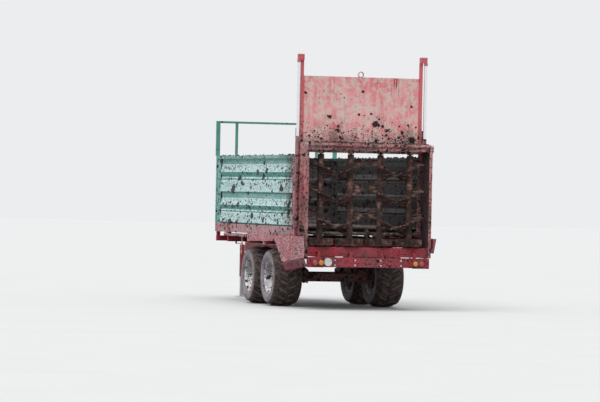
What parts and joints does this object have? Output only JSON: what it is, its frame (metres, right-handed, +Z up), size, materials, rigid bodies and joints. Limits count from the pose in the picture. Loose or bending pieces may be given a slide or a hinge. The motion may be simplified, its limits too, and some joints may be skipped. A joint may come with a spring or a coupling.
{
  "type": "manure spreader",
  "caption": "Towed manure spreader: ribbed open box on a bogie chassis, floor conveyor, slide gate raised on lift rods, upright rotors in a rear housing, drawbar with ring and jack.",
  "frame": {"origin": "on the ground under the middle of the bounding box", "axes": "+X forward to the hitch ring, +Y to the machine's left, +Z up"},
  "size_m": [8.38, 2.51, 4.591],
  "materials": {
    "green_paint": "dusty satin",
    "red_paint": "dusty, worn",
    "running_gear": "muddy",
    "gate_paint": "scraped, streaked",
    "worn_steel": "worn",
    "rotor_steel": "worn",
    "chrome": "polished",
    "barrel_paint": "dusty",
    "forged": "forged",
    "zinc": "zinc plated",
    "tyre": "muddy",
    "rim_paint": "dusty silver",
    "red_lens": "gloss",
    "amber_lens": "gloss",
    "white_face": "blank sign face"
  },
  "bodies": {
    "frame": {"side_wall_left": "green_paint", "side_wall_right": "green_paint", "front_wall": "green_paint", "floor_deck": "worn_steel", "front_frame": "green_paint", "chassis": "red_paint", "cross_beams": "red_paint", "side_rails": "red_paint", "portal_left": "red_paint", "portal_right": "red_paint", "gate_barrels": "barrel_paint", "rear_unit": "red_paint", "drive_beam": "red_paint", "lamp_bar": "red_paint", "lamps_red": "red_lens", "lamps_amber": "amber_lens", "sign_disc": "white_face", "skirt_left": "red_paint", "skirt_right": "red_paint", "bogie_left": "running_gear", "bogie_right": "running_gear", "axle_rear": "running_gear", "axle_front": "running_gear", "drawbar": "red_paint", "hitch_ring": "forged", "jack_tube": "red_paint", "driveline": "worn_steel", "conveyor": "worn_steel", "shaft_rear": "worn_steel", "shaft_front": "worn_steel", "reflectors": "amber_lens"},
    "gate": {"gate": "gate_paint", "gate_rods": "chrome"},
    "jack_leg": {"jack_leg": "zinc"},
    "rotor_1": {"rotor_1": "rotor_steel"},
    "rotor_2": {"rotor_2": "rotor_steel"},
    "rotor_3": {"rotor_3": "rotor_steel"},
    "rotor_4": {"rotor_4": "rotor_steel"},
    "wheel_rear_left": {"tyre_rear_left": "tyre", "rim_rear_left": "rim_paint"},
    "wheel_rear_right": {"tyre_rear_right": "tyre", "rim_rear_right": "rim_paint"},
    "wheel_front_left": {"tyre_front_left": "tyre", "rim_front_left": "rim_paint"},
    "wheel_front_right": {"tyre_front_right": "tyre", "rim_front_right": "rim_paint"}
  },
  "joints": [
    {"name": "wheel_rear_left_spin", "type": "hinge", "parent": "frame", "child": "wheel_rear_left", "pos_m": [-1.86, 0.98, 0.535], "axis": [0, 1, 0], "continuous": true},
    {"name": "wheel_rear_right_spin", "type": "hinge", "parent": "frame", "child": "wheel_rear_right", "pos_m": [-1.86, -0.98, 0.535], "axis": [0, 1, 0], "continuous": true},
    {"name": "wheel_front_left_spin", "type": "hinge", "parent": "frame", "child": "wheel_front_left", "pos_m": [-0.51, 0.98, 0.535], "axis": [0, 1, 0], "continuous": true},
    {"name": "wheel_front_right_spin", "type": "hinge", "parent": "frame", "child": "wheel_front_right", "pos_m": [-0.51, -0.98, 0.535], "axis": [0, 1, 0], "continuous": true},
    {"name": "gate_slide", "type": "slide", "parent": "frame", "child": "gate", "axis": [0, 0, 1], "range_m": [-1.32, 0]},
    {"name": "rotor_1_spin", "type": "hinge", "parent": "frame", "child": "rotor_1", "pos_m": [-3.78, -0.84, 1.168], "axis": [0, 0, 1], "continuous": true},
    {"name": "rotor_2_spin", "type": "hinge", "parent": "frame", "child": "rotor_2", "pos_m": [-3.78, -0.28, 1.168], "axis": [0, 0, 1], "continuous": true},
    {"name": "rotor_3_spin", "type": "hinge", "parent": "frame", "child": "rotor_3", "pos_m": [-3.78, 0.28, 1.168], "axis": [0, 0, 1], "continuous": true},
    {"name": "rotor_4_spin", "type": "hinge", "parent": "frame", "child": "rotor_4", "pos_m": [-3.78, 0.84, 1.168], "axis": [0, 0, 1], "continuous": true},
    {"name": "jack_slide", "type": "slide", "parent": "frame", "child": "jack_leg", "axis": [0, 0, 1], "range_m": [0, 0.3]}
  ],
  "couplings": [
    {"joint": "rotor_2_spin", "follows": "rotor_1_spin", "ratio": -1},
    {"joint": "rotor_3_spin", "follows": "rotor_1_spin", "ratio": 1},
    {"joint": "rotor_4_spin", "follows": "rotor_1_spin", "ratio": -1}
  ]
}
